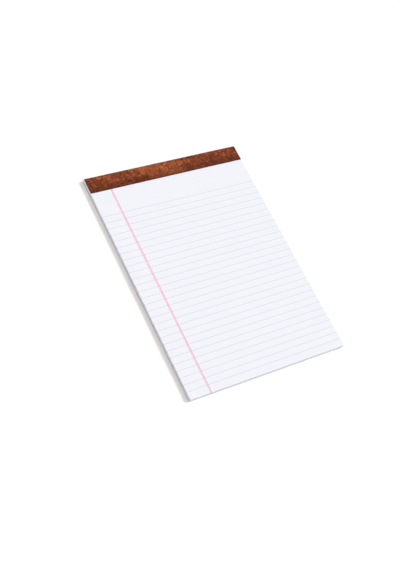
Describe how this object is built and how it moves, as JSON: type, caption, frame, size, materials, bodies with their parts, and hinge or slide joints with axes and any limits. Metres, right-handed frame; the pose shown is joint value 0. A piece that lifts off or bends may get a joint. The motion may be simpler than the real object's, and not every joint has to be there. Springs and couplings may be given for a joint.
{
  "type": "legal pad",
  "caption": "Letter-size ruled writing pad lying on its back: a thin flat block of white sheets, stitched and bound at the head by a folded brown leatherette strip over a grey chipboard back.",
  "frame": {"origin": "middle of the underside, level with the back of the binding strip, which is the lowest face", "axes": "+X across the page to the right, +Y up the page towards the bound head, +Z out of the page"},
  "size_m": [0.216, 0.3016, 0.0057],
  "materials": {
    "paper": "smooth white writing paper, printed with pale blue-grey rules and a pink margin line",
    "chipboard": "matt grey-brown recycled board with fibre flecks",
    "leatherette": "satin paper printed and grained like brown leather",
    "wire": "galvanised stitching wire"
  },
  "bodies": {
    "root": {"ruled_sheets": "paper", "backing_board": "chipboard", "header_strip": "leatherette", "wire_stitch_left": "wire", "wire_stitch_right": "wire"}
  },
  "joints": []
}
